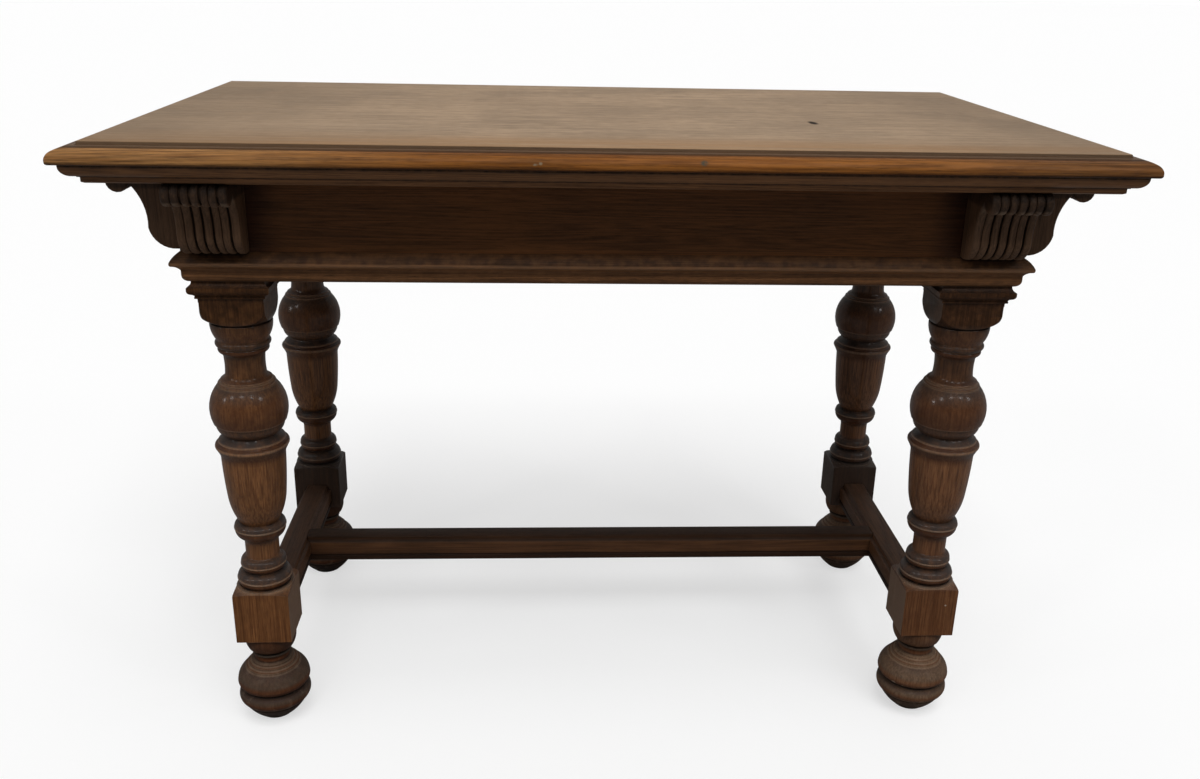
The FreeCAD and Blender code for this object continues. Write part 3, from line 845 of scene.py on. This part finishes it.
def moulding_finish(name, grain, offset):
    oak = Oak(name, colours().moulding, grain, offset)
    oak.pored(0.4)
    # The bands paint shadow under the top's nose, in the quirks and on the base moulding's underside and
    # upper slope, a highlight on its nose and light on the bed frame's face
    oak.banded(BED_BANDS)
    oak.rubbed(0.0028, 0.5, 0.62)
    oak.grimed_and_reflecting(0.3)
    oak.dirty_and_shaded(0.009, 0.9)
    return oak.made(0.42)


def frieze_finish(name, grain, offset):
    oak = Oak(name, colours().frieze, grain, offset)
    oak.pored(0.4)
    leg = {"X": sizes().leg_x, "Y": sizes().leg_y}[grain]
    run = oak.place.part("XY".index(grain))
    # Painted shade: the frieze darkens towards the corbels at its ends and where corbels and mouldings shut
    # it in
    oak.tinted(run.size().ramp(leg - CORNER_SHADE[0], leg - CORNER_SHADE[1]), "frieze end")
    oak.dirty_and_shaded(0.045, 0.75)
    return oak.made(0.46)


def carved_finish():
    oak = Oak("oak_carved_finish", colours().carved, "Z", 0.41)
    oak.pored(0.35)
    oak.grimed_and_reflecting(0.5)
    oak.rubbed(0.0035, 0.85, 0.9)
    # Painted shadow of the bed frame and the top over the corbel's roll
    oak.banded(CORBEL_ROLL_SHADOW)
    height, rise = oak.place.part(2), oak.normal.part(2)
    # Pale wood on the underside of the roll: worn wood and a painted highlight
    roll = height.ramp(*ROLL_FOOT) * height.fall(*ROLL_HEAD) * rise.fall(-0.75, -0.30)
    oak.colour = (roll * oak.specks.ramp(0.40, 0.60) * 0.8).mix(oak.colour, colour(colours().worn, 0.9))
    # Dirt and painted shade in the grooves between the reeds
    oak.dirty_and_shaded(0.009, 0.9)
    return oak.made(0.52)


def turned_finish():
    oak = Oak("oak_turned_finish", colours().turned, "Z", 0.77, figured=0.25)
    oak.pored(0.42)
    oak.lined(0.0024, 0.75)
    oak.tinted(oak.place.part(0).ramp(0.1, 0.3), "right leg")
    oak.banded(LOW_BANDS)
    oak.banded(HIGH_BANDS)
    facing, across, height = oak.normal.part(0), oak.place.part(1), oak.place.part(2)
    low_block, head = height.fall(*LOW_BLOCK_HEAD), height.ramp(*HEAD_BLOCK_FOOT)
    # A painted sheen on the sides of the foot and head blocks that face left and right
    oak.stained_and_shaded(facing.size().ramp(0.80, 0.97) * (low_block + 0.35 * head), "side sheen", 0.72)
    # Painted shade on the back legs' foot blocks
    oak.stained_and_shaded(height.fall(*LOW_SHADE_HEAD) * across.ramp(0.10, 0.14), "shaded", 0.8)
    oak.grimed_and_reflecting(0.45)
    oak.rubbed(0.0016, 0.7, 0.85)
    oak.dirty_and_shaded(0.006, 0.9)
    oak.stained_and_shaded(spot(oak, *FLECK), "fleck")
    flat = low_block + head
    oak.rough = oak.rough + flat * 0.15
    return oak.made(0.38, coat=0.42 - 0.38 * flat, coat_gloss=0.17)


def foot_finish():
    oak = Oak("oak_foot_finish", colours().foot, "Z", 0.52, figured=0.2)
    oak.pored(0.4)
    oak.lined(0.0024, 0.6)
    along = oak.place.part(0)
    oak.tinted(along.fall(-0.2, 0.2), "left foot")
    oak.tinted(along.ramp(-0.2, 0.2), "right foot")
    oak.banded(FOOT_BANDS)
    low = oak.place.part(2).fall(*SCUFF_HEAD)
    scuffs = (low * 0.8 + 0.2) * oak.specks.ramp(0.56, 0.68)
    oak.colour = (scuffs * 0.5).mix(oak.colour, colour(colours().worn))
    oak.rubbed(0.0018, 0.7, 0.9)
    oak.dirty_and_shaded(0.005, 0.8)
    for place, radius in CHIPS:
        oak.stained_and_shaded(spot(oak, place, [radius] * 3) * oak.specks.ramp(0.30, 0.50), "chip")
    return oak.made(0.48)


def stretcher_finish(name, grain, offset, cap, fillet, cap_tint):
    oak = Oak(name, colours().stretcher, grain, offset)
    oak.pored(0.4)
    oak.grimed_and_reflecting(0.55)
    height = oak.place.part(2)
    oak.tinted(height.ramp(cap - MEMBER_EDGE, cap + MEMBER_EDGE), cap_tint)
    oak.tinted(height.fall(fillet - MEMBER_EDGE, fillet + MEMBER_EDGE), "fillet")
    oak.rubbed(0.003, 0.55, 0.7)
    oak.dirty_and_shaded(0.007, 0.95)
    return oak.made(0.44)


def inner_finish():
    oak = Oak("oak_inner_finish", colours().inner, "X", 0.95)
    oak.pored(0.4)
    oak.dirty_and_shaded(0.020, 0.6)
    return oak.made(0.72)


class TABLE_OT_top(Operator):
    """Models the top and saws it into its three boards"""

    bl_idname = "table.top"
    bl_label = "Top"

    def execute(self, context):
        whole = stepped("top", sizes().leg_x, sizes().leg_y, TOP_EDGE)
        finish = top_finish()
        for board in ("front", "middle", "back"):
            node = "top_board_" + board
            low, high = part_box(node)
            piece = copied(whole, "oak_" + node, Matrix.Identity(4))
            waste = [(low, (0, -1, 0))] if board != "front" else []
            waste += [(high, (0, 1, 0))] if board != "back" else []
            finished(cut(piece, waste), node, finish)
        bpy.data.objects.remove(whole)
        return {"FINISHED"}


def mitred_lengths(section, node, finishes):
    """Four mitred lengths of one section round the table."""
    x, y = sizes().leg_x, sizes().leg_y
    outline = trace(section, closed=True)
    over = max(p.x for p in outline) + MITRE_WASTE
    points = [Vector((-x - over, -y - p.x, p.y)) for p in outline]
    front = drawn_out("long_" + node, points, (2 * (x + over), 0, 0))
    cut(front, [((-x, -y, 0), (-1, 1, 0)), ((x, -y, 0), (1, 1, 0))])
    points = [Vector((-x - p.x, -y - over, p.y)) for p in outline]
    left = drawn_out("short_" + node, points, (0, 2 * (y + over), 0))
    cut(left, [((-x, -y, 0), (1, -1, 0)), ((-x, y, 0), (1, 1, 0))])
    half_turn = Matrix.Rotation(math.pi, 4, "Z")
    for side, source, place, finish in (
        ("front", front, Matrix.Identity(4), finishes[0]), ("back", front, half_turn, finishes[0]),
        ("left", left, Matrix.Identity(4), finishes[1]), ("right", left, half_turn, finishes[1]),
    ):
        finished(copied(source, f"oak_{node}_{side}", place), f"{node}_{side}", finish)
    bpy.data.objects.remove(front)
    bpy.data.objects.remove(left)


class TABLE_OT_mouldings(Operator):
    """Models the bed frame under the top and the moulding under the frieze"""

    bl_idname = "table.mouldings"
    bl_label = "Mouldings"

    def execute(self, context):
        finishes = (
            moulding_finish("oak_long_moulding_finish", "X", 0.23),
            moulding_finish("oak_short_moulding_finish", "Y", 0.31),
        )
        mitred_lengths(BED_SECTION, "bed_frame", finishes)
        mitred_lengths(BASE_SECTION, "base_moulding", finishes)
        return {"FINISHED"}


class TABLE_OT_frieze(Operator):
    """Gives the frieze boards their dark polish"""

    bl_idname = "table.frieze"
    bl_label = "Frieze"

    def execute(self, context):
        long = frieze_finish("oak_long_frieze_finish", "X", 0.61)
        short = frieze_finish("oak_short_frieze_finish", "Y", 0.68)
        for side in SIDES:
            dressed("frieze_" + side, long if side in ("front", "back") else short)
        return {"FINISHED"}


def dressed(node, finish):
    """Gives a CAD node its finish."""
    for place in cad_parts[node].material_slots:
        place.material = finish


class TABLE_OT_corbels(Operator):
    """Carves one reeded corbel and copies it to its eight places"""

    bl_idname = "table.corbels"
    bl_label = "Corbels"

    def execute(self, context):
        width, gap = sizes().corbel_width, sizes().groove_width
        points = [Vector((gap - width / 2, -p.x, p.y)) for p in trace(GROOVE_SECTION, closed=True)]
        corbel = drawn_out("corbel", points, (width - 2 * gap, 0, 0))
        outline = trace(REED_SECTION, closed=True, worn=False)
        spare = width - gap * (len(REED_SHARES) - 1)
        start = -width / 2
        for band in REED_SHARES:
            for share in band:
                points = [Vector((start, -p.x, p.y)) for p in outline]
                reed = drawn_out("reed", points, (share * spare + REED_LAP, 0, 0))
                combine(corbel, rounded_ends(reed, sizes().reed_round), "UNION")
                start += share * spare
            start += gap
        finish = carved_finish()
        for side, turn in SIDES.items():
            for corner, (x, y) in CORNERS.items():
                along, across = corner.split("_")
                if side not in (along, across):
                    continue
                node = f"corbel_{side}_{across if side == along else along}"
                shift = (x * sizes().corbel_shift, 0) if side == along else (0, y * sizes().corbel_shift)
                place = Matrix.Translation((x * sizes().leg_x + shift[0], y * sizes().leg_y + shift[1], 0))
                place = place @ Matrix.Rotation(math.radians(turn), 4, "Z")
                finished(copied(corbel, "oak_" + node, place), node, finish)
        bpy.data.objects.remove(corbel)
        return {"FINISHED"}


def to_corners(piece, node, finish):
    """Copies a piece to the four legs' places."""
    for corner, (x, y) in CORNERS.items():
        place = Matrix.Translation((x * sizes().leg_x, y * sizes().leg_y, 0))
        finished(copied(piece, f"oak_{node}_{corner}", place), f"{node}_{corner}", finish)
    bpy.data.objects.remove(piece)


class TABLE_OT_legs(Operator):
    """Turns one leg with its square head and foot block and copies it to the four corners"""

    bl_idname = "table.legs"
    bl_label = "Legs"

    def execute(self, context):
        head = squared("head", sizes().head_width, *HEAD_BLOCK)
        combine(head, turned("head_dome", HEAD_DOME), "INTERSECT")
        low = squared("low", sizes().foot_width, *LOW_BLOCK)
        combine(low, turned("foot_dome", FOOT_DOME), "INTERSECT")
        leg = turned("leg", TURNING)
        combine(leg, head, "UNION")
        combine(leg, low, "UNION")
        combine(leg, stepped("slab", 0, 0, HEAD_SLAB), "UNION")
        to_corners(leg, "leg", turned_finish())
        return {"FINISHED"}


class TABLE_OT_feet(Operator):
    """Turns one bun foot and copies it under the four legs"""

    bl_idname = "table.feet"
    bl_label = "Feet"

    def execute(self, context):
        to_corners(turned("foot", FOOT_TURNING), "foot", foot_finish())
        return {"FINISHED"}


def rail_section(half_width, low, high):
    """Outline of a moulded stretcher, as pairs across and up in millimetres."""
    half = []
    for row in STRETCHER_SHARES:
        across = [s * half_width / MM for s in row[::2]]
        up = [(low + s * (high - low)) / MM for s in row[1::2]]
        half.append(tuple(v for pair in zip(across, up) for v in pair))
    right = trace(half)
    return right + [Vector((-p.x, p.y)) for p in reversed(right)]


class TABLE_OT_stretchers(Operator):
    """Moulds the two end stretchers and the long stretcher between them"""

    bl_idname = "table.stretchers"
    bl_label = "Stretchers"

    def execute(self, context):
        low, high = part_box("long_stretcher")
        rows = (STRETCHER_SHARES[CAP_ROW], STRETCHER_SHARES[FILLET_ROW])
        cap, fillet = (low.z + row[1] * (high.z - low.z) for row in rows)
        ends = stretcher_finish("oak_end_stretcher_finish", "Y", 0.37, cap, fillet, "end cap")
        long = stretcher_finish("oak_long_stretcher_finish", "X", 0.44, cap, fillet, "long cap")
        reach = sizes().leg_y - sizes().foot_width / 2
        for side in ("left", "right"):
            node = "end_stretcher_" + side
            low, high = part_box(node)
            middle = (low.x + high.x) / 2
            outline = rail_section((high.x - low.x) / 2, low.z, high.z)
            points = [Vector((middle + p.x, -reach, p.y)) for p in outline]
            finished(drawn_out("oak_" + node, points, (0, 2 * reach, 0)), node, ends)
        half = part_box("end_stretcher_right")[0].x + STRETCHER_STUB
        low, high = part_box("long_stretcher")
        outline = rail_section((high.y - low.y) / 2, low.z, high.z)
        points = [Vector((-half, p.x, p.y)) for p in outline]
        rail = drawn_out("oak_long_stretcher", points, (2 * half, 0, 0))
        finished(rail, "long_stretcher", long)
        return {"FINISHED"}


class TABLE_OT_inside(Operator):
    """Finishes the posts, bearer, blocks and buttons inside the frieze"""

    bl_idname = "table.inside"
    bl_label = "Inside"

    def execute(self, context):
        finish = inner_finish()
        names = ["corner_post_" + corner for corner in CORNERS]
        for node in names + ["cross_bearer", "glue_blocks", "top_buttons"]:
            dressed(node, finish)
        return {"FINISHED"}


class TABLE_OT_stage(Operator):
    """Sets the camera, the lights and the floor"""

    bl_idname = "table.stage"
    bl_label = "Stage"

    def execute(self, context):
        stage = context.scene.table_stage
        clear()
        bpy.ops.object.camera_add()
        camera = context.object
        camera.data.sensor_width = 36.0
        camera.data.lens = stage.camera_lens
        camera.data.clip_start, camera.data.clip_end = 0.05, 200.0
        turn = Matrix.Rotation(-stage.camera_heading, 4, "Z")
        turn = turn @ Matrix.Rotation(math.pi / 2 - stage.camera_dip, 4, "X")
        turn = turn @ Matrix.Rotation(stage.camera_roll, 4, "Z")
        camera.matrix_world = Matrix.Translation(stage.camera_place) @ turn
        context.scene.camera = camera
        context.scene.view_settings.view_transform = "Standard"
        for i, towards in enumerate(LAMP_ROW):
            self.sun(f"ceiling_lamp_{i + 1}", Vector(towards), stage.lamp_strength, LAMP_SPREAD)
        for name, (towards, spread) in SOFT_LIGHTS.items():
            strength = getattr(stage, name + "_strength")
            self.sun(name + "_light", Vector(towards), strength, spread, glint=False)
        self.lay_floor(stage)
        self.light_room(stage)
        return {"FINISHED"}

    def sun(self, name, towards, strength, spread, glint=True):
        bpy.ops.object.light_add(type="SUN", location=towards.normalized() * LIGHT_DISTANCE)
        sun = bpy.context.object
        sun.name = name
        sun.rotation_mode = "QUATERNION"
        sun.rotation_quaternion = towards.to_track_quat("Z", "Y")
        sun.data.energy = strength
        sun.data.angle = math.radians(spread)
        sun.visible_glossy = glint

    def lay_floor(self, stage):
        floor = begin("studio_floor")
        widen(FLOOR_HALF, FLOOR_HALF)
        clear()
        material = bpy.data.materials.new("studio_floor_finish")
        material.use_nodes = True
        material.node_tree.nodes.clear()
        start = Strand(material.node_tree)
        seen = start.add("LightPath", out="Is Camera Ray")
        grey = [stage.bounce] * 3 + [1.0]
        shaded = start.add("BsdfDiffuse", None, {"Color": seen.mix(grey, colour(colours().floor))})
        white = start.add("Emission", None, {"Color": WHITE, "Strength": 1.0})
        both = start.add("MixShader", None, {0: seen * stage.floor_glow, 1: shaded, 2: white})
        start.add("OutputMaterial", None, {"Surface": both})
        floor.data.materials.append(material)

    def light_room(self, stage):
        world = bpy.data.worlds.new("studio_room")
        world.use_nodes = True
        world.node_tree.nodes.clear()
        start = Strand(world.node_tree)
        seen = start.add("LightPath", out="Is Camera Ray")
        behind = start.add("TexCoord", out="Generated").part(1).ramp(-0.6, 0.9)
        room, backdrop, white = (
            start.add("Background", None, {"Color": WHITE, "Strength": strength})
            for strength in (stage.room_strength, stage.backdrop_strength, 1.0)
        )
        both = start.add("MixShader", None, {0: behind, 1: room, 2: backdrop})
        both = start.add("MixShader", None, {0: seen, 1: both, 2: white})
        start.add("OutputWorld", None, {"Surface": both})
        bpy.context.scene.world = world


OPERATORS = (
    TABLE_OT_stage, TABLE_OT_top, TABLE_OT_mouldings, TABLE_OT_frieze, TABLE_OT_corbels, TABLE_OT_legs,
    TABLE_OT_feet, TABLE_OT_stretchers, TABLE_OT_inside,
)
GROUPS = {"table_sizes": TableSizes, "table_colours": TableColours, "table_stage": TableStage}


class VIEW3D_PT_oak_table(Panel):
    """The steps that make the table, in order"""

    bl_label = "Oak Table"
    bl_idname = "VIEW3D_PT_oak_table"
    bl_space_type = "VIEW_3D"
    bl_region_type = "UI"
    bl_category = "Oak Table"

    def draw(self, context):
        for step in OPERATORS:
            self.layout.operator(step.bl_idname)


def register():
    for cls in (*GROUPS.values(), *OPERATORS, VIEW3D_PT_oak_table):
        bpy.utils.register_class(cls)
    for name, group in GROUPS.items():
        setattr(bpy.types.Scene, name, PointerProperty(type=group))


def unregister():
    for name in GROUPS:
        delattr(bpy.types.Scene, name)
    for cls in reversed((*GROUPS.values(), *OPERATORS, VIEW3D_PT_oak_table)):
        bpy.utils.unregister_class(cls)


def main():
    register()
    for step in OPERATORS:
        getattr(bpy.ops.table, step.bl_idname.split(".")[1])()


if __name__ == "__main__":
    main()
